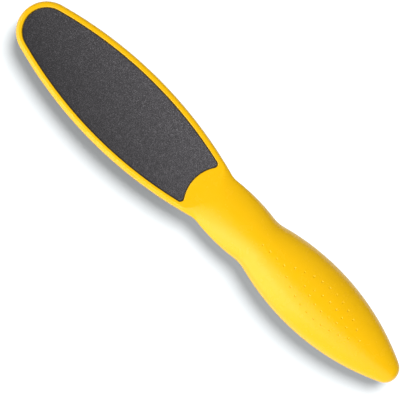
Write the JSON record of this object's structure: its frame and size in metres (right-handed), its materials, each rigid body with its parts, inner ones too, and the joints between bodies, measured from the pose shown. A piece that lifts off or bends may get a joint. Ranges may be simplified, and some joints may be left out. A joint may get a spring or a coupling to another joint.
{
  "type": "foot file",
  "caption": "Long two-sided foot file: flat leaf-shaped head with an abrasive sheet in a raised rim on each face, narrow neck, and a swelling rounded handle with grip dimples.",
  "frame": {"origin": "middle of the file, on the parting plane between its two halves", "axes": "+X along the file towards the tip of the head, +Z out of the coarse side"},
  "size_m": [0.225, 0.0394, 0.0186],
  "materials": {
    "yellow_plastic": "satin moulded, fine eroded texture",
    "adhesive_film": "tacky clear film",
    "backing_sheet": "waterproof latex paper",
    "coarse_abrasive": "rough mineral grain in resin",
    "fine_abrasive": "fine mineral grain in resin"
  },
  "bodies": {
    "root": {"front_shell": "yellow_plastic", "rear_shell": "yellow_plastic", "coarse_adhesive": "adhesive_film", "coarse_backing": "backing_sheet", "coarse_grit": "coarse_abrasive", "fine_adhesive": "adhesive_film", "fine_backing": "backing_sheet", "fine_grit": "fine_abrasive"}
  },
  "joints": []
}
